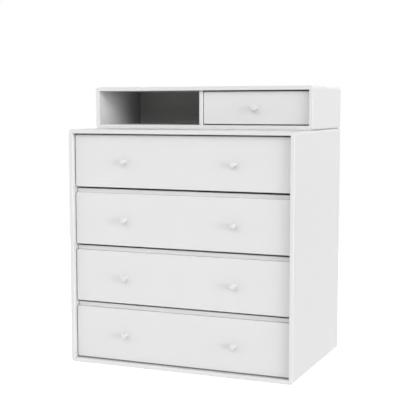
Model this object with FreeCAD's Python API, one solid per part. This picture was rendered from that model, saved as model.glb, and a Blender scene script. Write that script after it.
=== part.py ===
import FreeCAD, Part
import math
import os
from dataclasses import dataclass

# Wall-hung chest of drawers: a square lower module with four wide drawers, and on it a shallow
# upper module with an open bay on the left and one small drawer on the right.
# Millimetres. X runs to the right, Y towards the wall, Z up. The wall is the plane Y = 0, and the
# origin is the middle of the row of fixing holes in the wall rail.

# Cabinet
WIDTH = 696.0
LOWER_HEIGHT = 696.0
LOWER_DEPTH = 468.0
UPPER_HEIGHT = 126.0
UPPER_DEPTH = 300.0
BOARD = 12.0
OUTER_EDGE_RADIUS = 9.0
FRONT_EDGE_ARRIS = 1.0
BACK_GROOVE = 4.0
JOINT_CLEARANCE = 0.2
DIVIDER_RECESS = 11.0
DIVIDER_HOUSING = 3.0

# Drawer fronts: gaps round them, the space between two of them, and their edges
DRAWER_COUNT = 4
SIDE_GAP = 2.0
END_GAP = 3.0
FRONT_SPACE = 17.0
STRIP_GAP = 5.5
FRONT_THICKNESS = 12.0
WIDE_FRONT_RECESS = 14.0
SMALL_FRONT_RECESS = 12.0
FRONT_CORNER = 5.0
FRONT_ARRIS = 1.5

# Drawer boxes
BOX_BOARD = 12.0
BOX_ARRIS = 1.5
BOX_LIFT = 6.0
BOX_DROP = 20.0
FLOOR_THICKNESS = 6.0
FLOOR_GROOVE = 5.0
FLOOR_LIFT = 10.0
STRIP_ARRIS = 1.0

# Telescopic runners: three nested channels folded from sheet, with retainer strips in their races
RUNNER_STEP = 50.0
RUNNER_HEIGHT = 45.0
RUNNER_THICKNESS = 12.7
RUNNER_SHEET = 1.2
RUNNER_BEND = 0.6
RUNNER_SETBACK = 1.0
RUNNER_CLEARANCE = 0.3
CHANNEL_LIP = 0.6
OUTER_CHANNEL_SETBACK = 3.5
RETAINER_HEIGHT = 3.6
RETAINER_PLAY = 0.6
RETAINER_END = 8.0
RETAINER_LENGTH_SHARE = 0.4

# Knobs, each turned in one piece with the stud that draws the two fronts together
KNOB_FROM_END = 163.0
KNOB_LENGTH = 20.0
KNOB_HEAD_RADIUS = 8.0
KNOB_HEAD_DEPTH = 7.5
KNOB_CROWN = 2.0
KNOB_NECK_RADIUS = 4.2
STUD_RADIUS = 2.0
STUD_CLEARANCE = 0.1
STUD_COVER = 3.0

# Hanging rails: the wall rail, and the cabinet rail whose hook drops in behind its lip
RAIL_END_SPACE = 56.0
RAIL_HEADROOM = 11.5
RAIL_SHEET = 2.5
RAIL_BEND = 1.0
RAIL_WEB = 36.0
RAIL_STEP_STRAIGHT = 0.5
RAIL_LIP = 12.0
RAIL_CLEARANCE = 0.5
RAIL_FRONT_GAP = 4.5
RAIL_HOLE_COUNT = 4
RAIL_HOLE_FROM_END = 40.0
RAIL_HOLE_RADIUS = 3.25

# Cutters run this far past the face that they open
OVERRUN = 1.0

# Two places nearer than this are the same
SAME_PLACE = 1e-6

# Rail sizes that the cabinet's levels follow
rail_step = RAIL_SHEET + RAIL_BEND * 2 + RAIL_STEP_STRAIGHT
rail_space = rail_step + RAIL_SHEET + RAIL_FRONT_GAP
shelf_foot = RAIL_WEB / 2 + RAIL_LIP + RAIL_CLEARANCE
rail_top = shelf_foot + RAIL_WEB

# Levels, half widths and back faces that the pieces share
half_width = WIDTH / 2
inner_half = half_width - BOARD
lower_top = rail_top + RAIL_HEADROOM + BOARD
lower_bottom = lower_top - LOWER_HEIGHT
upper_top = lower_top + UPPER_HEIGHT
lower_back_face = -rail_space - BOARD
upper_back_face = -BOARD
divider_half = BOARD / 2
rail_half_length = inner_half - RAIL_END_SPACE
stud_length = FRONT_THICKNESS + BOX_BOARD - STUD_COVER

ORIGIN = FreeCAD.Vector(0, 0, 0)
TO_RIGHT = FreeCAD.Vector(1, 0, 0)
TO_WALL = FreeCAD.Vector(0, 1, 0)
UP = FreeCAD.Vector(0, 0, 1)


# Drawing aids

def seen_from_front(x, z):
    """A point of a section across the width, drawn on the wall plane."""
    return FreeCAD.Vector(x, 0, z)


def seen_from_side(y, z):
    """A point of a section across the depth, drawn on the middle plane."""
    return FreeCAD.Vector(0, y, z)


def seen_from_above(x, y):
    """A point of a plan, drawn at the origin's level."""
    return FreeCAD.Vector(x, y, 0)


def outline(corners, radii, place, flat=False):
    """Closed wire through the corners, each rounded to its own radius by a tangent arc, or where flat
    is asked for by the one straight line that touches this arc's middle."""
    points = [place(*corner) for corner in corners]
    spans = []
    edges = []
    for index, (point, radius) in enumerate(zip(points, radii)):
        back = (points[index - 1] - point).normalize()
        ahead = (points[(index + 1) % len(points)] - point).normalize()
        half_angle = back.getAngle(ahead) / 2
        rise = radius / math.sin(half_angle) - radius
        reach = rise / math.cos(half_angle) if flat else radius / math.tan(half_angle)
        start = point + back * reach
        end = point + ahead * reach
        spans.append((start, end))
        if radius > 0 and flat:
            edges.append(Part.LineSegment(start, end).toShape())
        elif radius > 0:
            crown = point + (back + ahead).normalize() * rise
            edges.append(Part.Arc(start, crown, end).toShape())
    for index, (start, end) in enumerate(spans):
        following = spans[(index + 1) % len(spans)][0]
        if end.distanceToPoint(following) > SAME_PLACE:
            edges.append(Part.LineSegment(end, following).toShape())
    return Part.Wire(Part.__sortEdges__(edges))


def polygon(corners, place):
    """Closed wire with sharp corners."""
    return outline(corners, [0] * len(corners), place)


def step_between(start, end):
    """Unit step from one point of a section to the next."""
    length = math.dist(start, end)
    return ((end[0] - start[0]) / length, (end[1] - start[1]) / length)


def folded_outline(path, sheet, bend, tip, place):
    """Outline of a strip of sheet folded square along a path of its middle line, one flat to a bend."""
    sides = {1: ([], []), -1: ([], [])}
    for index, here in enumerate(path):
        first = index == 0
        last = index == len(path) - 1
        leaving = step_between(path[index - 1], here) if last else step_between(here, path[index + 1])
        arriving = leaving if first else step_between(path[index - 1], here)
        turn = arriving[0] * leaving[1] - arriving[1] * leaving[0]
        across = (-arriving[1] - leaving[1] * abs(turn), arriving[0] + leaving[0] * abs(turn))
        for side, (corners, radii) in sides.items():
            corners.append((here[0] + across[0] * side * sheet / 2, here[1] + across[1] * side * sheet / 2))
            inside = turn * side > 0
            radii.append(tip if first or last else bend if inside else bend + sheet)
    left, left_radii = sides[1]
    right, right_radii = sides[-1]
    return outline(left + right[::-1], left_radii + right_radii[::-1], place, flat=True)


def prism(wire, start, end, along):
    """Solid between two distances along a direction, with the wire as its section."""
    section = Part.Face(wire)
    section.translate(along * start)
    return section.extrude(along * (end - start))


def block(low, high):
    """Box between two opposite corners."""
    size = [far - near for near, far in zip(low, high)]
    return Part.makeBox(*size, FreeCAD.Vector(*low))


def rod(radius, start, length, along):
    """Round bar or drill."""
    return Part.makeCylinder(radius, length, start, along)


def board(left, right, low, high, face, thickness, corner):
    """Upright board seen from the front, its front face at one distance from the wall."""
    corners = [(left, low), (right, low), (right, high), (left, high)]
    return prism(outline(corners, [corner] * len(corners), seen_from_front),
                 face, face + thickness, TO_WALL)


def edges_at(shape, axis, value):
    """Edges that lie wholly in the plane where one axis has the given value."""
    return [edge for edge in shape.Edges
            if abs(getattr(edge.BoundBox, axis + "Min") - value) < SAME_PLACE
            and abs(getattr(edge.BoundBox, axis + "Max") - value) < SAME_PLACE]


def longest_edges(edges):
    """The two edges of a group that run the length of the board."""
    return sorted(edges, key=lambda edge: edge.Length)[-2:]


def single(shape):
    """The one solid that a cut leaves, without leftover seams."""
    return shape.removeSplitter().Solids[0]


def save(name, solids):
    """Write the solids of one node, after a check that each is sound."""
    for solid in solids:
        if not solid.isValid() or len(solid.Solids) != 1 or solid.Volume <= 0:
            raise ValueError(f"{name} holds an unsound solid")
    pieces = [solid.Solids[0] for solid in solids]
    shape = pieces[0] if len(pieces) == 1 else Part.makeCompound(pieces)
    shape.exportStep(f"parts/{name}.step")


# Carcass

def mitred_boards(low, high, depth):
    """Bottom, right, top and left boards of a module, cut at 45 degrees where they meet."""
    outer = [(-half_width, low), (half_width, low), (half_width, high), (-half_width, high)]
    inner = [(-inner_half, low + BOARD), (inner_half, low + BOARD),
             (inner_half, high - BOARD), (-inner_half, high - BOARD)]
    shell = prism(outline(outer, [OUTER_EDGE_RADIUS] * len(outer), seen_from_front), -depth, 0, TO_WALL)
    ring = shell.cut(prism(polygon(inner, seen_from_front), -depth, 0, TO_WALL))
    ring = ring.makeChamfer(FRONT_EDGE_ARRIS, edges_at(ring, "Y", -depth))
    boards = []
    for index in range(len(outer)):
        following = (index + 1) % len(outer)
        mitre = polygon([outer[index], outer[following], inner[following], inner[index]], seen_from_front)
        boards.append(single(ring.common(prism(mitre, -depth, 0, TO_WALL))))
    return boards


def lower_back_panel(clearance=0):
    """Back panel of the lower module with its tongues, or with a clearance the groove for them."""
    reach = inner_half + BACK_GROOVE - JOINT_CLEARANCE + clearance
    low = lower_bottom + BOARD - BACK_GROOVE + JOINT_CLEARANCE - clearance
    high = lower_top - BOARD + BACK_GROOVE - JOINT_CLEARANCE + clearance
    return block((-reach, lower_back_face - clearance, low), (reach, clearance - rail_space, high))


def divider_board(clearance=0):
    """Upright divider of the upper module, or with a clearance the housings that take its ends."""
    half = divider_half + clearance
    low = lower_top + BOARD - DIVIDER_HOUSING - clearance
    high = upper_top - BOARD + DIVIDER_HOUSING + clearance
    front = DIVIDER_RECESS - UPPER_DEPTH - clearance
    return block((-half, front, low), (half, upper_back_face, high))


def make_lower_module():
    """Four mitred boards, grooved all round for a back panel that leaves room for the rails."""
    groove = lower_back_panel(JOINT_CLEARANCE)
    boards = mitred_boards(lower_bottom, lower_top, LOWER_DEPTH)
    for name, piece in zip(("bottom", "right_side", "top", "left_side"), boards):
        save(f"lower_{name}", [single(piece.cut(groove))])
    save("lower_back", [lower_back_panel()])


def make_upper_module():
    """Four mitred boards, a divider let into two of them, and a back panel flush with the wall."""
    bottom, right, top, left = mitred_boards(lower_top, upper_top, UPPER_DEPTH)
    housing = divider_board(JOINT_CLEARANCE)
    save("upper_bottom", [single(bottom.cut(housing))])
    save("upper_right_side", [right])
    save("upper_top", [single(top.cut(housing))])
    save("upper_left_side", [left])
    divider = divider_board()
    front_edges = longest_edges(edges_at(divider, "Y", DIVIDER_RECESS - UPPER_DEPTH))
    save("upper_divider", [divider.makeChamfer(FRONT_EDGE_ARRIS, front_edges)])
    back = block((-inner_half, upper_back_face, lower_top + BOARD), (inner_half, 0, upper_top - BOARD))
    save("upper_back", [back])


# Hanging rails

def rail_places():
    """Distances of the rail holes from the middle, evenly spaced."""
    reach = rail_half_length - RAIL_HOLE_FROM_END
    spacing = reach * 2 / (RAIL_HOLE_COUNT - 1)
    return [spacing * index - reach for index in range(RAIL_HOLE_COUNT)]


def rail_from(path):
    """Length of folded rail, centred on the cabinet."""
    wire = folded_outline(path, RAIL_SHEET, RAIL_BEND, RAIL_BEND, seen_from_side)
    return prism(wire, -rail_half_length, rail_half_length, TO_RIGHT)


def make_rails():
    """Wall rail with its fixing holes, and the cabinet rail that hooks over it."""
    wall_web = -RAIL_SHEET / 2
    wall_shelf = (RAIL_WEB - RAIL_SHEET) / 2
    wall_lip = wall_web - rail_step
    wall_rail = rail_from([(wall_web, -RAIL_WEB / 2), (wall_web, wall_shelf), (wall_lip, wall_shelf),
                           (wall_lip, RAIL_WEB / 2 + RAIL_LIP)])
    for x in rail_places():
        mouth = FreeCAD.Vector(x, -RAIL_SHEET - OVERRUN, 0)
        wall_rail = wall_rail.cut(rod(RAIL_HOLE_RADIUS, mouth, RAIL_SHEET + OVERRUN * 2, TO_WALL))
    save("wall_rail", [single(wall_rail)])
    hook = RAIL_SHEET / 2 - rail_step
    cabinet_web = RAIL_SHEET / 2 - rail_space
    cabinet_shelf = shelf_foot + RAIL_SHEET / 2
    cabinet_rail = rail_from([(hook, RAIL_WEB / 2), (hook, cabinet_shelf),
                              (cabinet_web, cabinet_shelf), (cabinet_web, rail_top)])
    save("cabinet_rail", [cabinet_rail])


# Runners

@dataclass
class Runner:
    """One telescopic runner: the board face that carries it, and where it lies along that face."""
    face: float
    inward: int
    level: float
    front: float
    length: float


race_height = RETAINER_HEIGHT + RUNNER_CLEARANCE * 2
outer_channel_half = RUNNER_HEIGHT / 2
middle_channel_half = outer_channel_half - RUNNER_SHEET - race_height
inner_channel_half = middle_channel_half - RUNNER_SHEET - race_height
web_step = RUNNER_SHEET + RUNNER_CLEARANCE * 2
outer_channel_edge = RUNNER_THICKNESS - OUTER_CHANNEL_SETBACK
middle_channel_edge = RUNNER_THICKNESS - web_step
inner_channel_edge = web_step * 2


def channel(runner, web_face, edge, half_height):
    """One member, a lipped channel. Web face and edge are its distances from the carrying board."""
    opening = 1 if edge > web_face else -1
    lip = half_height - RUNNER_SHEET - RUNNER_BEND - CHANNEL_LIP
    flange = half_height - RUNNER_SHEET / 2
    web_middle = web_face + opening * RUNNER_SHEET / 2
    edge_middle = edge - opening * RUNNER_SHEET / 2
    section = [(edge_middle, -lip), (edge_middle, -flange), (web_middle, -flange),
               (web_middle, flange), (edge_middle, flange), (edge_middle, lip)]
    path = [(runner.face + runner.inward * out, runner.level + height) for out, height in section]
    wire = folded_outline(path, RUNNER_SHEET, RUNNER_BEND, 0, seen_from_front)
    return prism(wire, runner.front, runner.front + runner.length, TO_WALL)


def outer_member(runner):
    """The member screwed to the cabinet."""
    return channel(runner, 0, outer_channel_edge, outer_channel_half)


def middle_member(runner):
    """The member between the two, which travels half as far as the drawer."""
    return channel(runner, web_step, middle_channel_edge, middle_channel_half)


def inner_member(runner):
    """The member screwed to the drawer box, open towards the cabinet."""
    return channel(runner, RUNNER_THICKNESS, inner_channel_edge, inner_channel_half)


def retainer_strips(runner, low, high, channel_half, start):
    """Strips that hold the balls of one pair of races, above and below a channel."""
    near, far = sorted((runner.face + runner.inward * (low + RETAINER_PLAY),
                        runner.face + runner.inward * (high - RETAINER_PLAY)))
    inner_level = channel_half + RUNNER_CLEARANCE
    outer_level = inner_level + RETAINER_HEIGHT
    end = start + runner.length * RETAINER_LENGTH_SHARE
    return [block((near, start, runner.level + inner_level), (far, end, runner.level + outer_level)),
            block((near, start, runner.level - outer_level), (far, end, runner.level - inner_level))]


def middle_solids(runner):
    """Middle member, with strips in the outer races at its rear and in the inner ones in front."""
    front_start = runner.front + RETAINER_END
    rear_start = runner.front + runner.length * (1 - RETAINER_LENGTH_SHARE) - RETAINER_END
    outer_strips = retainer_strips(runner, RUNNER_SHEET, outer_channel_edge - RUNNER_SHEET,
                                   middle_channel_half, rear_start)
    inner_strips = retainer_strips(runner, inner_channel_edge, middle_channel_edge - RUNNER_SHEET,
                                   inner_channel_half, front_start)
    return [middle_member(runner)] + outer_strips + inner_strips


# Drawers

@dataclass
class Drawer:
    """Where one drawer's front lies and what it carries. The strip stands above the outer front."""
    name: str
    left: float
    right: float
    low: float
    high: float
    strip: float
    face: float
    back_panel_face: float
    knobs: tuple

    @property
    def box_face(self):
        return self.face + FRONT_THICKNESS

    @property
    def box_rear(self):
        return self.box_face + BOX_BOARD

    @property
    def runner_length(self):
        room = self.back_panel_face - self.box_rear - RUNNER_SETBACK
        return math.floor(room / RUNNER_STEP) * RUNNER_STEP

    @property
    def end(self):
        return self.box_rear + RUNNER_SETBACK + self.runner_length

    @property
    def box_left(self):
        return self.left - SIDE_GAP + RUNNER_THICKNESS

    @property
    def box_right(self):
        return self.right + SIDE_GAP - RUNNER_THICKNESS

    @property
    def box_low(self):
        return self.low + BOX_LIFT

    @property
    def box_high(self):
        return self.high - BOX_DROP

    @property
    def floor_low(self):
        return self.box_low + FLOOR_LIFT

    @property
    def floor_high(self):
        return self.floor_low + FLOOR_THICKNESS

    @property
    def runners(self):
        level = (self.box_low + self.box_high) / 2
        front = self.box_rear + RUNNER_SETBACK
        return [Runner(self.left - SIDE_GAP, 1, level, front, self.runner_length),
                Runner(self.right + SIDE_GAP, -1, level, front, self.runner_length)]

    @property
    def knob_seats(self):
        level = (self.low + self.high) / 2
        return [FreeCAD.Vector(x, self.face, level) for x in self.knobs]


def make_fronts(drawer):
    """Outer front with softened edges, and the box front behind it, both drilled for the knobs."""
    front = board(drawer.left, drawer.right, drawer.low, drawer.high,
                  drawer.face, FRONT_THICKNESS, FRONT_CORNER)
    front = front.makeChamfer(FRONT_ARRIS, edges_at(front, "Y", drawer.face))
    top = drawer.high + drawer.strip
    box_front = board(drawer.left, drawer.right, drawer.low, top, drawer.box_face, BOX_BOARD, 0)
    box_front = box_front.makeChamfer(STRIP_ARRIS, longest_edges(edges_at(box_front, "Z", top)))
    box_front = box_front.cut(floor_panel(drawer, JOINT_CLEARANCE))
    for seat in drawer.knob_seats:
        drill = rod(STUD_RADIUS + STUD_CLEARANCE, seat, stud_length + STUD_CLEARANCE, TO_WALL)
        front = front.cut(drill)
        box_front = box_front.cut(drill)
    save(f"{drawer.name}_front", [single(front)])
    save(f"{drawer.name}_box_front", [single(box_front)])


def floor_panel(drawer, clearance=0):
    """Floor of the box, or with a clearance the groove that its edges slide in."""
    tongue = FLOOR_GROOVE - JOINT_CLEARANCE + clearance
    return block((drawer.box_left + BOX_BOARD - tongue, drawer.box_rear - tongue,
                  drawer.floor_low - clearance),
                 (drawer.box_right - BOX_BOARD + tongue, drawer.end, drawer.floor_high + clearance))


def make_box(drawer):
    """Sides grooved for the floor, the back standing on the floor, and the floor."""
    groove = floor_panel(drawer, JOINT_CLEARANCE)
    sides = []
    for near in (drawer.box_left, drawer.box_right - BOX_BOARD):
        side = block((near, drawer.box_rear, drawer.box_low),
                     (near + BOX_BOARD, drawer.end, drawer.box_high))
        side = side.makeChamfer(BOX_ARRIS, longest_edges(edges_at(side, "Z", drawer.box_high)))
        sides.append(single(side.cut(groove)))
    back_high = drawer.box_high - BOX_ARRIS
    back = block((drawer.box_left + BOX_BOARD, drawer.end - BOX_BOARD, drawer.floor_high),
                 (drawer.box_right - BOX_BOARD, drawer.end, back_high))
    back = back.makeChamfer(BOX_ARRIS, longest_edges(edges_at(back, "Z", back_high)))
    save(f"{drawer.name}_box_sides", sides)
    save(f"{drawer.name}_box_back", [back])
    save(f"{drawer.name}_box_bottom", [floor_panel(drawer)])


def knob_at(seat):
    """Turned knob, its neck standing on the outer front and its stud let into both fronts."""
    underside = KNOB_LENGTH - KNOB_HEAD_DEPTH
    profile = polygon([(0, stud_length), (STUD_RADIUS, stud_length), (STUD_RADIUS, 0),
                       (KNOB_NECK_RADIUS, 0), (KNOB_NECK_RADIUS, -underside),
                       (KNOB_HEAD_RADIUS, -underside), (KNOB_HEAD_RADIUS, KNOB_CROWN - KNOB_LENGTH),
                       (KNOB_HEAD_RADIUS - KNOB_CROWN, -KNOB_LENGTH), (0, -KNOB_LENGTH)], seen_from_above)
    knob = Part.Face(profile).revolve(ORIGIN, TO_WALL)
    knob.translate(seat)
    return knob


def make_drawer(drawer):
    """All pieces of one drawer with its knobs, and the three members of each of its runners."""
    make_fronts(drawer)
    make_box(drawer)
    save(f"{drawer.name}_knobs", [knob_at(seat) for seat in drawer.knob_seats])
    save(f"{drawer.name}_outer_runners", [outer_member(runner) for runner in drawer.runners])
    save(f"{drawer.name}_inner_runners", [inner_member(runner) for runner in drawer.runners])
    middles = [solid for runner in drawer.runners for solid in middle_solids(runner)]
    save(f"{drawer.name}_middle_runners", middles)


def wide_drawers():
    """The equal drawers of the lower module, numbered from the top. All but the first show a strip."""
    opening = LOWER_HEIGHT - BOARD * 2 - END_GAP * 2
    height = (opening - FRONT_SPACE * (DRAWER_COUNT - 1)) / DRAWER_COUNT
    reach = inner_half - SIDE_GAP
    knobs = (KNOB_FROM_END - reach, reach - KNOB_FROM_END)
    drawers = []
    for index in range(DRAWER_COUNT):
        high = lower_top - BOARD - END_GAP - (height + FRONT_SPACE) * index
        strip = 0 if index == 0 else FRONT_SPACE - STRIP_GAP
        drawers.append(Drawer(f"drawer_{index + 1}", -reach, reach, high - height, high, strip,
                              WIDE_FRONT_RECESS - LOWER_DEPTH, lower_back_face, knobs))
    return drawers


def small_drawer():
    """The drawer beside the open bay of the upper module."""
    left = divider_half + SIDE_GAP
    right = inner_half - SIDE_GAP
    return Drawer("small_drawer", left, right, lower_top + BOARD + END_GAP, upper_top - BOARD - END_GAP,
                  0, SMALL_FRONT_RECESS - UPPER_DEPTH, upper_back_face, ((left + right) / 2,))


os.makedirs("parts", exist_ok=True)
make_lower_module()
make_upper_module()
make_rails()
for each_drawer in wide_drawers() + [small_drawer()]:
    make_drawer(each_drawer)
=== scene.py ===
"""Wall-hung chest of drawers: its finishes, its turned and folded pieces, and a plain studio."""

import math
from typing import NamedTuple

import bmesh
import bpy
from bpy.props import FloatProperty, FloatVectorProperty, IntProperty, PointerProperty
from mathutils import Matrix, Vector


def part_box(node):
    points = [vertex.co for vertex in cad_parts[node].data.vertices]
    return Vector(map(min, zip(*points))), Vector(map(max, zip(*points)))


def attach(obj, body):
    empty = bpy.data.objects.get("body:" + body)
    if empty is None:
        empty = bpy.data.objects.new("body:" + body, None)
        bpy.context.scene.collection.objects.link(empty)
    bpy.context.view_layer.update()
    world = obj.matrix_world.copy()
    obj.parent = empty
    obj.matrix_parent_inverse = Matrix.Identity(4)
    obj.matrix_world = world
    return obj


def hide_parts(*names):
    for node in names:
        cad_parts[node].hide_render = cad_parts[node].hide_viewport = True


bl_info = {
    "name": "Wall-Hung Chest of Drawers",
    "version": (1, 0, 0),
    "blender": (4, 5, 0),
    "location": "3D View > Sidebar > Chest",
    "description": "Dresses a wall-hung chest of drawers and lights it in a plain studio",
    "category": "Object",
}

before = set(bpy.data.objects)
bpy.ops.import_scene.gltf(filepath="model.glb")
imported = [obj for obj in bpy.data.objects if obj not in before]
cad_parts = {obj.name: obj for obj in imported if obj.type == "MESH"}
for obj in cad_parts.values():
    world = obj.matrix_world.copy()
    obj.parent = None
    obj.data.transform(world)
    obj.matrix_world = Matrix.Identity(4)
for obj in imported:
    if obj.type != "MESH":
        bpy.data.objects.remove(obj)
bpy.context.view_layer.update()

MM = 0.001
SAME_PLACE = 1e-6
NEARLY_PARALLEL = 0.99
RIGHT, IN, UP = Vector((1, 0, 0)), Vector((0, 1, 0)), Vector((0, 0, 1))

WIDE_DRAWERS = ("drawer_1", "drawer_2", "drawer_3", "drawer_4")
DRAWERS = (*WIDE_DRAWERS, "small_drawer")
CARCASS_BOARDS = ("lower_left_side", "lower_right_side", "lower_top", "lower_bottom",
                  "upper_left_side", "upper_right_side", "upper_top", "upper_bottom", "upper_divider")
BACK_PANELS = ("lower_back", "upper_back")
RAILS = ("wall_rail", "cabinet_rail")

# Faces round the rounded edges and corners
CORNER_STEPS = 7
ARRIS_STEPS = 5
SECTION_STEPS = 4
SLOT_STEPS = 5
SMALL_STEPS = 3

# Knobs: radius, distance from the front and rounding of the neck's foot, waist and shoulder, the first as a
# share of the neck's radius and the others of its length; and the crown's rounding as a share of the rim's
KNOB_NECK = ((1.25, 0, 0), (0.95, 0.3, 0.2), (1, 0.78, 0.18))
KNOB_CROWN = 1.4

# Runners: how far the lips stay from the folds behind them and the outer member from the drawer; and how
# many slots there are, with the rounding of their ends as a share of half their height
LIP_GAP = 0.6 * MM
OUTER_SETBACK = 3.5 * MM
SLOTS_PER_METRE = 10
FEWEST_SLOTS = 2
SLOT_END = 0.98

# Rows of balls: their length as a share of the runner's and their distance from its ends; how far a cage
# stays inside its race, and the rounding of its ends as a share of half its width; then half a cage's
# thickness and a ball's radius as shares of the race's height
ROW_SHARE = 0.4
END_PLAY = 8 * MM
CAGE_GAP = 0.6 * MM
CAGE_ROUNDING = 0.6
CAGE_GAUGE = 0.16
BALL_SHARE = 0.48
BALL_SIDES, BALL_RINGS = 10, 6

# Screws: radius and height of each kind of head
MODULE_SCREW = RAIL_SCREW = (4 * MM, 1.8 * MM)
FRONT_SCREW = (3.5 * MM, 1.4 * MM)
RUNNER_SCREW = (3.2 * MM, 1.3 * MM)
SUNK_SCREW = (3 * MM, 0.35 * MM)

# Screw heads: the rounding and the recess's depth as shares of the height, the recess's margin as a share of
# the radius, and the star's inner corners as a share of its outer ones
HEAD_SIDES, STAR_POINTS = 24, 6
HEAD_ROUNDING, RECESS_DEPTH = 0.45, 0.6
RECESS_MARGIN, STAR_WAIST = 0.3, 0.72

# Where the screws sit: in metres from the sides, the back and the front of the upper module, on the cabinet
# rail's sheet below its top, and as shares of the rail's length and of a box front's width and height
MODULE_SCREW_FROM_SIDE, MODULE_SCREW_FROM_END = 0.11, 0.07
RAIL_SHEET, RAIL_SCREW_DROP = 2.5 * MM, 17 * MM
RAIL_SCREW_SHARES = (0.07, 0.36, 0.64, 0.93)
WIDE_FRONT_SCREWS = ((0.12, 0.5, 0.88), (0.3, 0.75))
SMALL_FRONT_SCREWS = ((0.2, 0.8), (0.5,))

# Studio
WHITE = (1, 1, 1, 1)
FLOOR_REACH, FLOOR_PARTS = 7.0, 12
FLOOR_TONES = ((0.88, 0.88, 0.88), (0.9, 0.9, 0.9))
FLOOR_GLOW = 0.6
LIGHT_BOUNCES = 1
SENSOR_WIDTH, LENS = 36.0, 85.65
CAMERA_PLACE = (1.1481, -3.0118, 0.1519)
CAMERA_DROP, CAMERA_TURN = 5.76, 22.46


class Lamp(NamedTuple):
    """A distant soft lamp: its height over the horizon, turn to the front's right and spread in degrees."""
    name: str
    height: float
    turn: float
    spread: float
    strength: float


LAMPS = (Lamp("left_rear", 30, -110, 24, 1.14),
         Lamp("left_side", 0, -80, 32, 0.57),
         Lamp("left_high", 45, -50, 60, 0.52),
         Lamp("left_low", 4, -50, 30, 0.22),
         Lamp("front_key", 35, -15, 40, 0.53),
         Lamp("right_front", 24, 20, 24, 0.7),
         Lamp("right_key", 24, 50, 24, 0.25),
         Lamp("right_corner", 0, 58, 22, 0.09),
         Lamp("right_wall", 10, 70, 30, 0.92),
         Lamp("right_low", 0, 74, 30, 0.8),
         Lamp("rear_wall", 20, 180, 40, 0.45))


# Sizes and colours that a user would change

class LacquerSettings(bpy.types.PropertyGroup):
    """The white lacquer on the boards, and the plainer faces behind it."""
    white: FloatVectorProperty(name="White", description="Colour of the lacquered boards",
                               subtype="COLOR", size=3, min=0, max=1, default=(0.8, 0.8, 0.797))
    # The inner fronts' white is lighter than the boards' white. This is painted light that lifts the shade
    # falling on the inner fronts in the gaps between the drawer fronts.
    inner_white: FloatVectorProperty(name="Inner white", description="Colour of the inner fronts",
                                     subtype="COLOR", size=3, min=0, max=1, default=(0.855, 0.855, 0.85))
    box_white: FloatVectorProperty(name="Box white", description="Colour of the drawer boxes",
                                   subtype="COLOR", size=3, min=0, max=1, default=(0.76, 0.76, 0.75))
    floor_grey: FloatVectorProperty(name="Drawer floor", description="Colour of the drawer floors",
                                    subtype="COLOR", size=3, min=0, max=1, default=(0.66, 0.66, 0.65))
    back_grey: FloatVectorProperty(name="Back panels", description="Colour of the foil on the back panels",
                                   subtype="COLOR", size=3, min=0, max=1, default=(0.74, 0.74, 0.73))
    roughness: FloatProperty(name="Roughness", description="Roughness of the satin lacquer",
                             subtype="FACTOR", min=0, max=1, default=0.42)
    shine: FloatProperty(name="Shine", description="Strength of the reflections in the lacquer",
                         subtype="FACTOR", min=0, max=1, default=0.4)
    peel: FloatProperty(name="Orange peel", description="Height of the ripple that the spray gun leaves",
                        unit="LENGTH", min=0, max=0.001, default=0.00002, precision=6)


class MetalSettings(bpy.types.PropertyGroup):
    """Tones of the plated and polished steel."""
    runner: FloatVectorProperty(name="Runners", description="Tone of the zinc on the runners",
                                subtype="COLOR", size=3, min=0, max=1, default=(0.62, 0.63, 0.645))
    cage: FloatVectorProperty(name="Ball cages", description="Tone of the zinc on the ball cages",
                              subtype="COLOR", size=3, min=0, max=1, default=(0.5, 0.51, 0.52))
    rail: FloatVectorProperty(name="Rails", description="Tone of the zinc on the hanging rails",
                              subtype="COLOR", size=3, min=0, max=1, default=(0.6, 0.61, 0.62))
    ball: FloatVectorProperty(name="Balls", description="Tone of the polished balls",
                              subtype="COLOR", size=3, min=0, max=1, default=(0.72, 0.73, 0.74))
    ball_haze: FloatVectorProperty(name="Haze on balls", description="Tone of the haze on the balls",
                                   subtype="COLOR", size=3, min=0, max=1, default=(0.6, 0.61, 0.62))
    screw: FloatVectorProperty(name="Screws", description="Tone of the plated screws",
                               subtype="COLOR", size=3, min=0, max=1, default=(0.62, 0.62, 0.6))
    screw_film: FloatVectorProperty(name="Film on screws", description="Tone of the dull film on the screws",
                                    subtype="COLOR", size=3, min=0, max=1, default=(0.44, 0.44, 0.43))


class FrontSettings(bpy.types.PropertyGroup):
    """Edges of the drawer fronts."""
    corner: FloatProperty(name="Corner", description="Radius of a front's four corners",
                          unit="LENGTH", min=0.001, max=0.02, default=0.005, precision=4)
    arris: FloatProperty(name="Arris", description="Radius that softens the face's rim",
                         unit="LENGTH", min=0.0002, max=0.005, default=0.0018, precision=4)


class KnobSettings(bpy.types.PropertyGroup):
    """Sizes and sheen of the turned knobs."""
    head_radius: FloatProperty(name="Head radius", description="Radius of the knob's head",
                               unit="LENGTH", min=0.004, max=0.02, default=0.008, precision=4)
    head_depth: FloatProperty(name="Head depth", description="Depth of the knob's head",
                              unit="LENGTH", min=0.002, max=0.02, default=0.0075, precision=4)
    neck_radius: FloatProperty(name="Neck radius", description="Radius of the knob's neck",
                               unit="LENGTH", min=0.002, max=0.01, default=0.0042, precision=4)
    rim: FloatProperty(name="Rim", description="Radius that softens the rim of the head",
                       unit="LENGTH", min=0.0002, max=0.003, default=0.0008, precision=4)
    steps: IntProperty(name="Steps", description="Faces round a knob", min=16, max=96, default=56)
    roughness: FloatProperty(name="Roughness", description="Roughness of the knobs' lacquer",
                             subtype="FACTOR", min=0, max=1, default=0.55)
    shine: FloatProperty(name="Shine", description="Strength of the reflections in the knobs' lacquer",
                         subtype="FACTOR", min=0, max=1, default=0.22)


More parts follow.
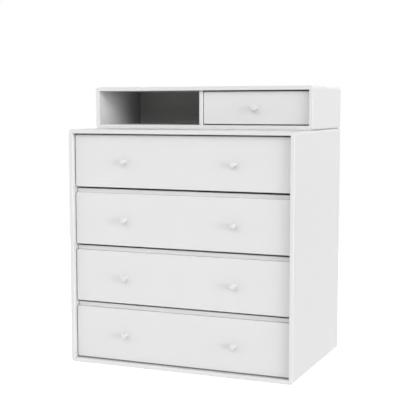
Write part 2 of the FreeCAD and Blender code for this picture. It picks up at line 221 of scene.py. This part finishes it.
class RunnerSettings(bpy.types.PropertyGroup):
    """The folded sheet and the balls of the telescopic runners."""
    sheet: FloatProperty(name="Sheet", description="Thickness of the runner's sheet",
                         unit="LENGTH", min=0.0005, max=0.003, default=0.0012, precision=4)
    bend: FloatProperty(name="Bend", description="Inside radius of a fold",
                        unit="LENGTH", min=0.0002, max=0.003, default=0.0006, precision=4)
    thickness: FloatProperty(name="Thickness", description="Thickness of a whole runner",
                             unit="LENGTH", min=0.008, max=0.02, default=0.0127, precision=4)
    clearance: FloatProperty(name="Clearance", description="Running clearance between two members",
                             unit="LENGTH", min=0.0001, max=0.001, default=0.0003, precision=4)
    slot_length: FloatProperty(name="Slot length", description="Length of a slot punched in a runner",
                               unit="LENGTH", min=0.008, max=0.05, default=0.022, precision=4)
    slot_height: FloatProperty(name="Slot height", description="Height of a slot punched in a runner",
                               unit="LENGTH", min=0.002, max=0.02, default=0.0062, precision=4)
    ball_pitch: FloatProperty(name="Ball pitch", description="Distance from one ball to the next",
                              unit="LENGTH", min=0.006, max=0.05, default=0.016, precision=4)


class StudioSettings(bpy.types.PropertyGroup):
    """Lamps, air and floor of the studio."""
    lamps: FloatProperty(name="Lamps", description="Share of the lamps' strength", min=0, max=4, default=1.0)
    air: FloatProperty(name="Air", description="Light that comes from all round", min=0, max=2, default=0.08)
    floor_level: FloatProperty(name="Floor level", description="Height of the floor under the hanging chest",
                               unit="LENGTH", max=0, default=-1.35)


class ChestSettings(bpy.types.PropertyGroup):
    """Everything that can be set on the chest and round it."""
    lacquer: PointerProperty(type=LacquerSettings)
    metal: PointerProperty(type=MetalSettings)
    front: PointerProperty(type=FrontSettings)
    knob: PointerProperty(type=KnobSettings)
    runner: PointerProperty(type=RunnerSettings)
    studio: PointerProperty(type=StudioSettings)


# Shader building

class Signal:
    """One number that varies over a surface, open to ordinary sums."""

    def __init__(self, tree, socket):
        self.tree = tree
        self.socket = socket

    def _math(self, operation, first, second, clamp=False):
        node = self.tree.add("ShaderNodeMath", {"operation": operation, "use_clamp": clamp},
                             {0: first, 1: second})
        return Signal(self.tree, node.outputs[0])

    def __add__(self, other):
        return self._math("ADD", self, other)

    def __radd__(self, other):
        return self._math("ADD", other, self)

    def __sub__(self, other):
        return self._math("SUBTRACT", self, other)

    def __rsub__(self, other):
        return self._math("SUBTRACT", other, self)

    def __mul__(self, other):
        return self._math("MULTIPLY", self, other)

    def __rmul__(self, other):
        return self._math("MULTIPLY", other, self)

    def clamped(self):
        """The same number, held between 0 and 1."""
        return self._math("ADD", self, 0.0, clamp=True)

    def swing(self, amount):
        """A pattern's deviation from its middle, scaled to this amount from end to end."""
        return (self - 0.5) * amount


class NodeTree:
    """Shader nodes under construction, all made by one method."""

    def __init__(self, owner, output):
        owner.use_nodes = True
        self.nodes = owner.node_tree.nodes
        self.links = owner.node_tree.links
        self.nodes.clear()
        self.output = self.add(output)

    def add(self, kind, settings=None, inputs=None):
        """Makes a node, gives it its settings, and then fills or links its sockets."""
        node = self.nodes.new(kind)
        for key, value in (settings or {}).items():
            if key == "stops":
                for element, (position, level) in zip(node.color_ramp.elements, value):
                    element.position = position
                    element.color = (level, level, level, 1)
            else:
                setattr(node, key, value)
        for key, value in (inputs or {}).items():
            value = value.socket if isinstance(value, Signal) else value
            if isinstance(value, bpy.types.NodeSocket):
                self.links.new(value, node.inputs[key])
            else:
                node.inputs[key].default_value = value
        return node

    def by_sight(self, unseen, seen):
        """One shader for the eye, also where gloss or glass shows it, and another for all other light."""
        rays = self.add("ShaderNodeLightPath").outputs
        direct = Signal(self, rays["Is Camera Ray"])
        mirrored = Signal(self, rays["Is Glossy Ray"])
        through = Signal(self, rays["Is Transmission Ray"])
        return self.add("ShaderNodeMixShader", None, {0: (direct + mirrored + through).clamped(),
                                                      1: unseen.outputs[0], 2: seen.outputs[0]})

    def show(self, shader):
        """Puts a shader on the output."""
        self.links.new(shader.outputs[0], self.output.inputs["Surface"])


class Finish(NodeTree):
    """A material under construction, with the patterns that its finishes share."""

    SOCKETS = {"base": "Base Color", "roughness": "Roughness", "metallic": "Metallic",
               "specular": "Specular IOR Level", "normal": "Normal"}

    def __init__(self, name):
        self.material = bpy.data.materials.new(name)
        super().__init__(self.material, "ShaderNodeOutputMaterial")
        self.place = self.add("ShaderNodeTexCoord").outputs["Object"]

    def stretched(self, axis, share):
        """The place on the piece, for a pattern that is drawn out along one axis."""
        scale = tuple(share if letter == axis else 1.0 for letter in "xyz")
        return self.add("ShaderNodeMapping", None, {"Vector": self.place, "Scale": scale}).outputs["Vector"]

    def noise(self, scale, detail, place=None):
        """Soft clouds, their scale the number of them in a metre."""
        node = self.add("ShaderNodeTexNoise", None,
                        {"Vector": place or self.place, "Scale": scale, "Detail": detail})
        return Signal(self, node.outputs[0])

    def cells(self, scale):
        """Small fields with a tone each."""
        node = self.add("ShaderNodeTexVoronoi", None, {"Vector": self.place, "Scale": scale})
        channels = self.add("ShaderNodeSeparateColor", None, {0: node.outputs["Color"]})
        return Signal(self, channels.outputs[0])

    def ramp(self, signal, stops):
        """The signal, spread between two stops."""
        node = self.add("ShaderNodeValToRGB", {"stops": stops}, {"Fac": signal})
        return Signal(self, node.outputs["Color"])

    def blend(self, mask, low, high):
        """From one colour to the other as the mask goes from 0 to 1, in a Mix node's colour sockets."""
        node = self.add("ShaderNodeMix", {"data_type": "RGBA"}, {0: mask, 6: (*low, 1), 7: (*high, 1)})
        return node.outputs[2]

    def bump(self, height, distance):
        """Relief that is this deep where the height goes from 0 to 1."""
        node = self.add("ShaderNodeBump", None, {"Strength": 1.0, "Distance": distance, "Height": height})
        return node.outputs["Normal"]

    def coat(self, **inputs):
        """Lays one shader over the piece and gives back the finished material."""
        self.show(self.add("ShaderNodeBsdfPrincipled", None,
                           {self.SOCKETS[key]: value for key, value in inputs.items()}))
        return self.material


def dimmed(colour, share):
    """A colour at a share of its brightness."""
    return tuple(part * share for part in colour)


def satin_lacquer(name, white, sheen, peel):
    """Sprayed lacquer: a fine ripple, and a faint cloudiness in tone and sheen."""
    finish = Finish(name)
    cloud = finish.noise(scale=5.0, detail=3.0)
    ripple = finish.noise(scale=330.0, detail=1.5)
    flecks = finish.noise(scale=1400.0, detail=1.0)
    return finish.coat(base=finish.blend(cloud.clamped(), dimmed(white, 0.985), white),
                       roughness=sheen.roughness + cloud.swing(0.06) + ripple.swing(0.05),
                       normal=finish.bump(ripple + flecks * 0.15, peel), specular=sheen.shine)


def box_paint(white):
    """Matt paint that lets the board's fibres show a little."""
    finish = Finish("box_paint")
    fibre = finish.noise(scale=260.0, detail=4.0, place=finish.stretched("x", 0.25))
    cloud = finish.noise(scale=9.0, detail=2.0)
    mask = (fibre * 0.6 + cloud * 0.4).clamped()
    return finish.coat(base=finish.blend(mask, dimmed(white, 0.96), white), roughness=0.56 + fibre.swing(0.12),
                       normal=finish.bump(fibre, distance=0.04 * MM), specular=0.35)


def floor_melamine(grey):
    """Printed melamine with a fine grain along the drawer's width."""
    finish = Finish("drawer_floor_melamine")
    grain = finish.noise(scale=150.0, detail=5.0, place=finish.stretched("x", 0.05))
    bands = finish.noise(scale=28.0, detail=3.0, place=finish.stretched("x", 0.08))
    mask = finish.ramp(grain * 0.6 + bands * 0.4, [(0.36, 0.0), (0.64, 1.0)])
    return finish.coat(base=finish.blend(mask, dimmed(grey, 0.88), grey), roughness=0.45 + grain.swing(0.15),
                       normal=finish.bump(grain, distance=0.03 * MM), specular=0.4)


def back_foil(grey):
    """Foil on the thin back panels, with a dull paper tooth."""
    finish = Finish("back_panel_foil")
    tooth = finish.noise(scale=700.0, detail=3.0)
    cloud = finish.noise(scale=4.0, detail=2.0)
    mask = (tooth * 0.5 + cloud * 0.5).clamped()
    return finish.coat(base=finish.blend(mask, dimmed(grey, 0.95), grey), roughness=0.62 + tooth.swing(0.1),
                       normal=finish.bump(tooth, distance=0.03 * MM), specular=0.35)


def zinc_plate(name, along, tone):
    """Zinc-plated sheet with rolling marks along its length and a faint spangle."""
    finish = Finish(name)
    marks = finish.noise(scale=900.0, detail=3.0, place=finish.stretched(along, 0.03))
    spangle = finish.cells(scale=180.0)
    mask = (marks * 0.55 + spangle * 0.45).clamped()
    return finish.coat(base=finish.blend(mask, dimmed(tone, 0.82), tone), metallic=1.0,
                       roughness=0.3 + marks * 0.16 + spangle * 0.05,
                       normal=finish.bump(marks, distance=0.01 * MM))


def polished_steel(metal):
    """Hardened balls, brightly polished with a light haze."""
    finish = Finish("ball_steel")
    haze = finish.noise(scale=2500.0, detail=2.0)
    return finish.coat(base=finish.blend(haze, metal.ball_haze, metal.ball), metallic=1.0,
                       roughness=0.12 + haze * 0.08)


def screw_plate(metal):
    """Plated screws under a dull film."""
    finish = Finish("screw_plate")
    film = finish.noise(scale=1200.0, detail=3.0)
    return finish.coat(base=finish.blend(film, metal.screw_film, metal.screw), metallic=1.0,
                       roughness=0.28 + film * 0.2)


# Mesh building

def finished(name, bm, material, body, replaced=(), smooth=35.0, weighted=False):
    """Turns a bmesh into a piece that rides on a body and wears a material."""
    bmesh.ops.recalc_face_normals(bm, faces=bm.faces[:])
    mesh = bpy.data.meshes.new(name)
    bm.to_mesh(mesh)
    bm.free()
    mesh.materials.append(material)
    mesh.shade_smooth()
    mesh.set_sharp_from_angle(angle=math.radians(smooth))
    piece = bpy.data.objects.new(name, mesh)
    bpy.context.scene.collection.objects.link(piece)
    if weighted:
        modifier = piece.modifiers.new("Even faces", "WEIGHTED_NORMAL")
        modifier.keep_sharp = True
        modifier.weight = 100
    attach(piece, body)
    if replaced:
        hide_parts(*replaced)


def steel_piece(name, bm, material, body, replaced=(), smooth=30.0):
    """Finishes a piece of plated or polished steel."""
    finished(name, bm, material, body, replaced, smooth)


def dress(node, material):
    """Gives a node of the frame its finish."""
    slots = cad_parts[node].data.materials
    slots.clear()
    slots.append(material)


def joined(bm, part):
    """Adds another bmesh to this one."""
    mesh = bpy.data.meshes.new("part")
    part.to_mesh(mesh)
    part.free()
    bm.from_mesh(mesh)
    bpy.data.meshes.remove(mesh)


def block(size, centre):
    """A square-edged block."""
    bm = bmesh.new()
    bmesh.ops.create_cube(bm, size=1.0)
    bmesh.ops.scale(bm, vec=size, verts=bm.verts[:])
    bmesh.ops.translate(bm, vec=centre, verts=bm.verts[:])
    return bm


def edges_along(bm, axis):
    """The edges of a block that run along an axis."""
    return [edge for edge in bm.edges if abs((edge.verts[0].co - edge.verts[1].co)[axis]) > SAME_PLACE]


def eased(bm, geom, radius, segments, affect="EDGES"):
    """Rounds edges, or the corners of a flat face if affect is VERTICES."""
    bmesh.ops.bevel(bm, geom=geom, offset=radius, offset_type="OFFSET", segments=segments,
                    profile=0.5, affect=affect, material=-1)


def drawn_out(bm, faces, step):
    """Extrudes faces by a step."""
    out = bmesh.ops.extrude_face_region(bm, geom=faces)
    moved = [item for item in out["geom"] if isinstance(item, bmesh.types.BMVert)]
    bmesh.ops.translate(bm, vec=step, verts=moved)


def rounded_slab(low, high, corner, arris):
    """Upright board seen from the front, its corners rounded and its front rim softened."""
    bm = block(high - low, (low + high) / 2)
    eased(bm, edges_along(bm, 1), corner, CORNER_STEPS)
    rim = [edge for edge in bm.edges if all(abs(vert.co.y - low.y) < SAME_PLACE for vert in edge.verts)]
    eased(bm, rim, arris, ARRIS_STEPS)
    return bm


def section(bm, outline, place):
    """A flat face through an outline, whose corners have two coordinates and a rounding each."""
    verts = [bm.verts.new(place(first, second)) for first, second, _ in outline]
    bm.faces.new(verts)
    for radius in sorted({rounding for _, _, rounding in outline} - {0}):
        chosen = [vert for vert, (_, _, rounding) in zip(verts, outline) if rounding == radius]
        eased(bm, chosen, radius, SECTION_STEPS, affect="VERTICES")


def turned(outline, steps, centre):
    """Spins a rounded outline of radii and depths about an axis that runs into the front."""
    part = bmesh.new()
    section(part, outline, lambda radius, depth: Vector((radius, depth, 0)))
    bmesh.ops.delete(part, geom=part.faces[:], context="FACES_ONLY")
    on_axis = [edge for edge in part.edges if all(abs(vert.co.x) < SAME_PLACE for vert in edge.verts)]
    bmesh.ops.delete(part, geom=on_axis, context="EDGES")
    bmesh.ops.spin(part, geom=part.verts[:] + part.edges[:], cent=(0, 0, 0), axis=(0, 1, 0), dvec=(0, 0, 0),
                   angle=math.tau, steps=steps, use_merge=True)
    bmesh.ops.remove_doubles(part, verts=part.verts[:], dist=SAME_PLACE)
    bmesh.ops.translate(part, vec=centre, verts=part.verts[:])
    return part


def folded(path, sheet, bend, start, end):
    """A strip of sheet folded square along a path seen from the front, drawn out along its length."""
    points = [Vector(point) for point in path]
    flanks = {1: [], -1: []}
    for index, here in enumerate(points):
        ahead = (points[index + 1] - here).normalized() if index + 1 < len(points) else None
        behind = (here - points[index - 1]).normalized() if index else None
        leaving, arriving = ahead or behind, behind or ahead
        turn = arriving.x * leaving.y - arriving.y * leaving.x
        # Square to the path at its ends, and the sum of both legs' squares at a fold, which mitres it
        across = Vector((-arriving.y - leaving.y * abs(turn), arriving.x + leaving.x * abs(turn)))
        for side, outline in flanks.items():
            rounding = 0
            if ahead and behind:
                rounding = bend if turn * side > 0 else bend + sheet
            outline.append((*(here + across * side * sheet / 2), rounding))
    part = bmesh.new()
    section(part, flanks[1] + flanks[-1][::-1], lambda x, z: Vector((x, start, z)))
    drawn_out(part, part.faces[:], (0, end - start, 0))
    bmesh.ops.recalc_face_normals(part, faces=part.faces[:])
    return part


def punched(part, centre, half_length, half_height, flat):
    """Punches a slot with round ends through the flat of a folded strip, flat being half its height."""
    margin = flat - half_height
    for y in (centre.y - half_length - margin, centre.y + half_length + margin):
        bmesh.ops.bisect_plane(part, geom=part.verts[:] + part.edges[:] + part.faces[:], dist=SAME_PLACE / 10,
                               plane_co=(0, y, 0), plane_no=(0, 1, 0))
    part.faces.ensure_lookup_table()
    both = [face for face in part.faces if abs(face.normal.x) > NEARLY_PARALLEL
            and (face.calc_center_median() - centre).length < half_height]
    bmesh.ops.inset_individual(part, faces=both, thickness=margin, use_even_offset=True)
    rims = [edge for face in both for edge in face.edges]
    bmesh.ops.delete(part, geom=both, context="FACES_ONLY")
    walls = bmesh.ops.bridge_loops(part, edges=rims)
    through = {edge for face in walls["faces"] for edge in face.edges
               if abs((edge.verts[0].co - edge.verts[1].co).normalized().x) > NEARLY_PARALLEL}
    eased(part, list(through), half_height * SLOT_END, SLOT_STEPS)


def screw_head(bm, seat, drive, head):
    """Adds a low round head with a star-shaped recess, its crown facing against the drive."""
    radius, height = head
    part = bmesh.new()
    bmesh.ops.create_circle(part, cap_ends=True, segments=HEAD_SIDES, radius=radius)
    drawn_out(part, part.faces[:], (0, 0, height))
    rim = [edge for edge in part.edges if all(vert.co.z > height / 2 for vert in edge.verts)]
    eased(part, rim, height * HEAD_ROUNDING, SMALL_STEPS)
    crown = max(part.faces, key=lambda face: face.calc_center_median().z)
    bmesh.ops.inset_region(part, faces=[crown], thickness=radius * RECESS_MARGIN, use_even_offset=True)
    period = HEAD_SIDES // STAR_POINTS
    for index, vert in enumerate(crown.verts):
        if index % period >= period / 2:
            vert.co.x *= STAR_WAIST
            vert.co.y *= STAR_WAIST
    drawn_out(part, [crown], (0, 0, -height * RECESS_DEPTH))
    bmesh.ops.delete(part, geom=[crown], context="FACES_ONLY")
    turn = UP.rotation_difference(-drive).to_matrix().to_4x4()
    bmesh.ops.transform(part, matrix=Matrix.Translation(seat) @ turn, verts=part.verts[:])
    joined(bm, part)


# Where the runners lie

class Channel(NamedTuple):
    """Section of a runner's member: its back's and its lips' distances from the wall, and half its height."""
    back: float
    lips: float
    half: float


class Berth(NamedTuple):
    """The place of one runner: its wall, the way out from that wall, its middle level and its two ends."""
    wall: float
    outward: int
    level: float
    start: float
    end: float

    @property
    def length(self):
        return self.end - self.start

    @property
    def slot_count(self):
        return max(FEWEST_SLOTS, round(self.length * SLOTS_PER_METRE))

    def at(self, out, y, height=0.0):
        """The point at a distance from the wall and a height over the middle level."""
        return Vector((self.wall + self.outward * out, y, self.level + height))

    def slots(self):
        """Depths of the slots."""
        return [self.start + self.length * (index + 0.5) / self.slot_count for index in range(self.slot_count)]

    def screws(self):
        """Depths of the screws, one between each two slots."""
        return [self.start + self.length * index / self.slot_count for index in range(1, self.slot_count)]


def berths(drawer):
    """The left and the right runner of a drawer."""
    low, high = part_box(f"{drawer}_outer_runners")
    level = (low.z + high.z) / 2
    return Berth(low.x, 1, level, low.y, high.y), Berth(high.x, -1, level, low.y, high.y)


def nested_channels(drawer, runner):
    """The outer, middle and inner member of a drawer's runners, and the height of the races between them."""
    outer_low, outer_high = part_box(f"{drawer}_outer_runners")
    inner_low, inner_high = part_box(f"{drawer}_inner_runners")
    outer_half = (outer_high.z - outer_low.z) / 2
    inner_half = (inner_high.z - inner_low.z) / 2
    race = (outer_half - inner_half) / 2 - runner.sheet
    step = runner.sheet + runner.clearance * 2
    channels = (Channel(0, runner.thickness - OUTER_SETBACK, outer_half),
                Channel(step, runner.thickness - step, outer_half - runner.sheet - race),
                Channel(runner.thickness, step * 2, inner_half))
    return channels, race


# Pieces

class CHEST_OT_dress_cabinet(bpy.types.Operator):
    """Lacquer the carcass boards and put foil on the back panels"""
    bl_idname = "chest.dress_cabinet"
    bl_label = "Dress Cabinet"

    def execute(self, context):
        settings = context.scene.chest.lacquer
        lacquer = satin_lacquer("carcass_lacquer", settings.white, settings, settings.peel)
        foil = back_foil(settings.back_grey)
        for node in CARCASS_BOARDS:
            dress(node, lacquer)
        for node in BACK_PANELS:
            dress(node, foil)
        return {"FINISHED"}


class CHEST_OT_build_fronts(bpy.types.Operator):
    """Make the drawer fronts with rounded corners and softened rims"""
    bl_idname = "chest.build_fronts"
    bl_label = "Build Fronts"

    def execute(self, context):
        settings = context.scene.chest.lacquer
        front = context.scene.chest.front
        lacquer = satin_lacquer("front_lacquer", settings.white, settings, settings.peel)
        # The inner fronts wear a lighter copy of the same lacquer. This is painted light against the shade in
        # the gaps between fronts.
        inner_lacquer_with_painted_light = satin_lacquer("inner_front_lacquer_painted_light", settings.inner_white, settings, settings.peel)
        for drawer in DRAWERS:
            node = f"{drawer}_front"
            low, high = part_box(node)
            bm = rounded_slab(low, high, front.corner, front.arris)
            finished(f"{drawer}_softened_front", bm, lacquer, drawer, [node], weighted=True)
            dress(f"{drawer}_box_front", inner_lacquer_with_painted_light)
        return {"FINISHED"}


class CHEST_OT_dress_boxes(bpy.types.Operator):
    """Paint the drawer boxes and grain their floors"""
    bl_idname = "chest.dress_boxes"
    bl_label = "Dress Drawer Boxes"

    def execute(self, context):
        settings = context.scene.chest.lacquer
        paint = box_paint(settings.box_white)
        melamine = floor_melamine(settings.floor_grey)
        for drawer in DRAWERS:
            dress(f"{drawer}_box_sides", paint)
            dress(f"{drawer}_box_back", paint)
            dress(f"{drawer}_box_bottom", melamine)
        return {"FINISHED"}


class CHEST_OT_build_knobs(bpy.types.Operator):
    """Turn the knobs"""
    bl_idname = "chest.build_knobs"
    bl_label = "Build Knobs"

    def execute(self, context):
        chest = context.scene.chest
        knob = chest.knob
        lacquer = satin_lacquer("knob_lacquer_satin", chest.lacquer.white, knob, chest.lacquer.peel)
        for drawer in DRAWERS:
            node = f"{drawer}_knobs"
            low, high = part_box(node)
            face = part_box(f"{drawer}_front")[0].y
            level = (low.z + high.z) / 2
            outline = self.outline(knob, face - low.y)
            places = (low.x + knob.head_radius, high.x - knob.head_radius)
            bm = bmesh.new()
            for x in places if drawer in WIDE_DRAWERS else places[:1]:
                joined(bm, turned(outline, knob.steps, Vector((x, face, level))))
            finished(f"{drawer}_turned_knobs", bm, lacquer, drawer, [node], smooth=50.0)
        return {"FINISHED"}

    @staticmethod
    def outline(knob, length):
        """Radius, depth and rounding of each corner, from the foot on the front to the crown's middle."""
        neck = length - knob.head_depth
        return [(0, 0, 0),
                *((knob.neck_radius * share, -neck * out, neck * rounding)
                  for share, out, rounding in KNOB_NECK),
                (knob.head_radius, -neck, knob.rim),
                (knob.head_radius, -length, knob.rim * KNOB_CROWN),
                (0, -length, 0)]


class CHEST_OT_build_runners(bpy.types.Operator):
    """Fold the three members of each runner and fill their races with caged balls"""
    bl_idname = "chest.build_runners"
    bl_label = "Build Runners"

    def execute(self, context):
        runner = context.scene.chest.runner
        metal = context.scene.chest.metal
        zinc = zinc_plate("runner_zinc", "y", metal.runner)
        cage_zinc = zinc_plate("cage_zinc", "y", metal.cage)
        steel = polished_steel(metal)
        for drawer in DRAWERS:
            channels, race = nested_channels(drawer, runner)
            outer, middle, inner, cages, balls = (bmesh.new() for _ in range(5))
            for berth in berths(drawer):
                for bm, channel in zip((outer, middle, inner), channels):
                    joined(bm, self.member(runner, berth, channel))
                self.fill_races(cages, balls, runner, berth, channels, race)
            steel_piece(f"{drawer}_outer_channels", outer, zinc, "cabinet", [f"{drawer}_outer_runners"])
            steel_piece(f"{drawer}_inner_channels", inner, zinc, drawer, [f"{drawer}_inner_runners"])
            steel_piece(f"{drawer}_middle_channels", middle, zinc, f"{drawer}_middle",
                        [f"{drawer}_middle_runners"])
            steel_piece(f"{drawer}_ball_cages", cages, cage_zinc, f"{drawer}_middle")
            steel_piece(f"{drawer}_balls", balls, steel, f"{drawer}_middle", smooth=60.0)
        return {"FINISHED"}

    @staticmethod
    def member(runner, berth, channel):
        """A channel folded from sheet, its lips turned in and its slots punched."""
        opening = 1 if channel.lips > channel.back else -1
        lip = channel.half - runner.sheet - runner.bend - LIP_GAP
        flange = channel.half - runner.sheet / 2
        back = channel.back + opening * runner.sheet / 2
        lips = channel.lips - opening * runner.sheet / 2
        path = [(lips, -lip), (lips, -flange), (back, -flange), (back, flange), (lips, flange), (lips, lip)]
        part = folded([berth.at(out, berth.start, height).xz for out, height in path],
                      runner.sheet, runner.bend, berth.start, berth.end)
        for y in berth.slots():
            punched(part, berth.at(back, y), runner.slot_length / 2, runner.slot_height / 2,
                    channel.half - runner.sheet - runner.bend)
        return part

    @staticmethod
    def fill_races(cages, balls, runner, berth, channels, race):
        """Lays a caged row of balls over and under the middle and the inner member."""
        outer, middle, inner = channels
        row = berth.length * ROW_SHARE
        count = int(row / runner.ball_pitch)
        races = ((runner.sheet, outer.lips - runner.sheet, middle.half, berth.end - row - END_PLAY),
                 (inner.lips, middle.lips - runner.sheet, inner.half, berth.start + END_PLAY))
        for near, far, half, start in races:
            out = (near + far) / 2
            half_width = (far - near) / 2 - CAGE_GAP
            for side in (-1, 1):
                height = side * (half + race / 2)
                cage = block((half_width * 2, row, race * CAGE_GAUGE * 2),
                             berth.at(out, start, height) + IN * row / 2)
                eased(cage, edges_along(cage, 2), half_width * CAGE_ROUNDING, SMALL_STEPS)
                joined(cages, cage)
                for index in range(count):
                    place = berth.at(out, start + (index + 0.5) * row / count, height)
                    bmesh.ops.create_uvsphere(balls, u_segments=BALL_SIDES, v_segments=BALL_RINGS,
                                              radius=race * BALL_SHARE, matrix=Matrix.Translation(place))


class CHEST_OT_dress_rails(bpy.types.Operator):
    """Plate the wall rail and the cabinet rail with zinc"""
    bl_idname = "chest.dress_rails"
    bl_label = "Dress Rails"

    def execute(self, context):
        zinc = zinc_plate("rail_zinc", "x", context.scene.chest.metal.rail)
        for node in RAILS:
            dress(node, zinc)
        return {"FINISHED"}


class CHEST_OT_build_screws(bpy.types.Operator):
    """Set the small screws that hold the modules, the rail, the fronts and the runners"""
    bl_idname = "chest.build_screws"
    bl_label = "Build Screws"

    def execute(self, context):
        plate = screw_plate(context.scene.chest.metal)
        cabinet = bmesh.new()
        self.join_modules(cabinet)
        self.fix_rail(cabinet)
        for drawer in DRAWERS:
            fixings = bmesh.new()
            self.fix_runners(cabinet, fixings, drawer, context.scene.chest.runner)
            self.fix_front(fixings, drawer)
            steel_piece(f"{drawer}_front_screws", fixings, plate, drawer)
        steel_piece("cabinet_screws", cabinet, plate, "cabinet")
        return {"FINISHED"}

    @staticmethod
    def join_modules(bm):
        """Screws that are driven up through the lower top into the upper module."""
        low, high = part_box("lower_top")
        upper_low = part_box("upper_bottom")[0]
        for x in (low.x + MODULE_SCREW_FROM_SIDE, high.x - MODULE_SCREW_FROM_SIDE):
            for y in (high.y - MODULE_SCREW_FROM_END, upper_low.y + MODULE_SCREW_FROM_END):
                screw_head(bm, Vector((x, y, low.z)), UP, MODULE_SCREW)

    @staticmethod
    def fix_rail(bm):
        """Screws that hold the cabinet rail to the back."""
        low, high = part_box("cabinet_rail")
        for share in RAIL_SCREW_SHARES:
            seat = Vector((low.x + (high.x - low.x) * share, low.y + RAIL_SHEET, high.z - RAIL_SCREW_DROP))
            screw_head(bm, seat, -IN, RAIL_SCREW)

    @staticmethod
    def fix_runners(cabinet, fixings, drawer, runner):
        """Screws that hold the outer members to the cabinet and the inner ones to the drawer."""
        pair = berths(drawer)
        for y in pair[0].screws():
            for berth in pair:
                screw_head(cabinet, berth.at(runner.sheet, y), RIGHT * -berth.outward, SUNK_SCREW)
                screw_head(fixings, berth.at(runner.thickness - runner.sheet, y), RIGHT * berth.outward,
                           RUNNER_SCREW)

    @staticmethod
    def fix_front(bm, drawer):
        """Screws that are driven through the box front into the outer front."""
        low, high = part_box(f"{drawer}_box_front")
        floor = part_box(f"{drawer}_box_bottom")[1].z
        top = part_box(f"{drawer}_box_sides")[1].z
        across, up = WIDE_FRONT_SCREWS if drawer in WIDE_DRAWERS else SMALL_FRONT_SCREWS
        for share in across:
            for height in up:
                seat = Vector((low.x + (high.x - low.x) * share, high.y, floor + (top - floor) * height))
                screw_head(bm, seat, -IN, FRONT_SCREW)


# Studio

class CHEST_OT_set_stage(bpy.types.Operator):
    """Lay the floor, hang the lamps and place the camera"""
    bl_idname = "chest.set_stage"
    bl_label = "Set Stage"

    def execute(self, context):
        scene = context.scene
        self.lay_floor(scene)
        self.fill_air(scene)
        for lamp in LAMPS:
            self.hang_lamp(scene, lamp)
        self.place_camera(scene)
        scene.view_settings.view_transform = "Standard"
        scene.cycles.diffuse_bounces = LIGHT_BOUNCES
        return {"FINISHED"}

    @staticmethod
    def lay_floor(scene):
        """A pale floor that takes shadows and looks nearly white."""
        bm = bmesh.new()
        bmesh.ops.create_grid(bm, x_segments=FLOOR_PARTS, y_segments=FLOOR_PARTS, size=FLOOR_REACH)
        bmesh.ops.translate(bm, vec=(0, 0, scene.chest.studio.floor_level), verts=bm.verts[:])
        mesh = bpy.data.meshes.new("studio_floor")
        bm.to_mesh(mesh)
        bm.free()
        finish = Finish("pale_floor")
        base = finish.blend(finish.noise(scale=40.0, detail=2.0), *FLOOR_TONES)
        plain = finish.add("ShaderNodeBsdfDiffuse", None, {"Color": base})
        glow = finish.add("ShaderNodeEmission", None, {"Color": WHITE, "Strength": FLOOR_GLOW})
        both = finish.add("ShaderNodeAddShader", None, {0: plain.outputs[0], 1: glow.outputs[0]})
        finish.show(finish.by_sight(unseen=plain, seen=both))
        mesh.materials.append(finish.material)
        floor = bpy.data.objects.new("studio_floor", mesh)
        scene.collection.objects.link(floor)

    @staticmethod
    def fill_air(scene):
        """Faint light from all round, seen as white."""
        world = bpy.data.worlds.new("studio_air")
        air = NodeTree(world, "ShaderNodeOutputWorld")
        dim = air.add("ShaderNodeBackground", None, {"Color": WHITE, "Strength": scene.chest.studio.air})
        white = air.add("ShaderNodeBackground", None, {"Color": WHITE, "Strength": 1.0})
        air.show(air.by_sight(unseen=dim, seen=white))
        scene.world = world

    @staticmethod
    def hang_lamp(scene, lamp):
        data = bpy.data.lights.new(lamp.name, "SUN")
        data.energy = lamp.strength * scene.chest.studio.lamps
        data.angle = math.radians(lamp.spread)
        sun = bpy.data.objects.new(lamp.name, data)
        sun.rotation_euler = (math.radians(90 - lamp.height), 0, math.radians(lamp.turn))
        scene.collection.objects.link(sun)

    @staticmethod
    def place_camera(scene):
        data = bpy.data.cameras.new("front_camera")
        data.sensor_width = SENSOR_WIDTH
        data.lens = LENS
        camera = bpy.data.objects.new("front_camera", data)
        camera.location = CAMERA_PLACE
        camera.rotation_euler = (math.radians(90 - CAMERA_DROP), 0, math.radians(CAMERA_TURN))
        scene.collection.objects.link(camera)
        scene.camera = camera


class CHEST_PT_panel(bpy.types.Panel):
    """The chest's settings, and the steps that make it in order"""
    bl_idname = "CHEST_PT_panel"
    bl_label = "Chest of Drawers"
    bl_space_type = "VIEW_3D"
    bl_region_type = "UI"
    bl_category = "Chest"

    def draw(self, context):
        for group in ChestSettings.__annotations__:
            settings = getattr(context.scene.chest, group)
            box = self.layout.box()
            box.label(text=group.title())
            for name in type(settings).__annotations__:
                box.prop(settings, name)
        for step in STEPS:
            self.layout.operator(step.bl_idname)


SETTINGS = (LacquerSettings, MetalSettings, FrontSettings, KnobSettings, RunnerSettings, StudioSettings,
            ChestSettings)
STEPS = (CHEST_OT_dress_cabinet, CHEST_OT_build_fronts, CHEST_OT_dress_boxes, CHEST_OT_build_knobs,
         CHEST_OT_build_runners, CHEST_OT_dress_rails, CHEST_OT_build_screws, CHEST_OT_set_stage)
CLASSES = (*SETTINGS, *STEPS, CHEST_PT_panel)


def register():
    for cls in CLASSES:
        bpy.utils.register_class(cls)
    bpy.types.Scene.chest = PointerProperty(type=ChestSettings)


def unregister():
    del bpy.types.Scene.chest
    for cls in reversed(CLASSES):
        bpy.utils.unregister_class(cls)


def main():
    register()
    bpy.ops.chest.dress_cabinet()
    bpy.ops.chest.build_fronts()
    bpy.ops.chest.dress_boxes()
    bpy.ops.chest.build_knobs()
    bpy.ops.chest.build_runners()
    bpy.ops.chest.dress_rails()
    bpy.ops.chest.build_screws()
    bpy.ops.chest.set_stage()


if __name__ == "__main__":
    main()
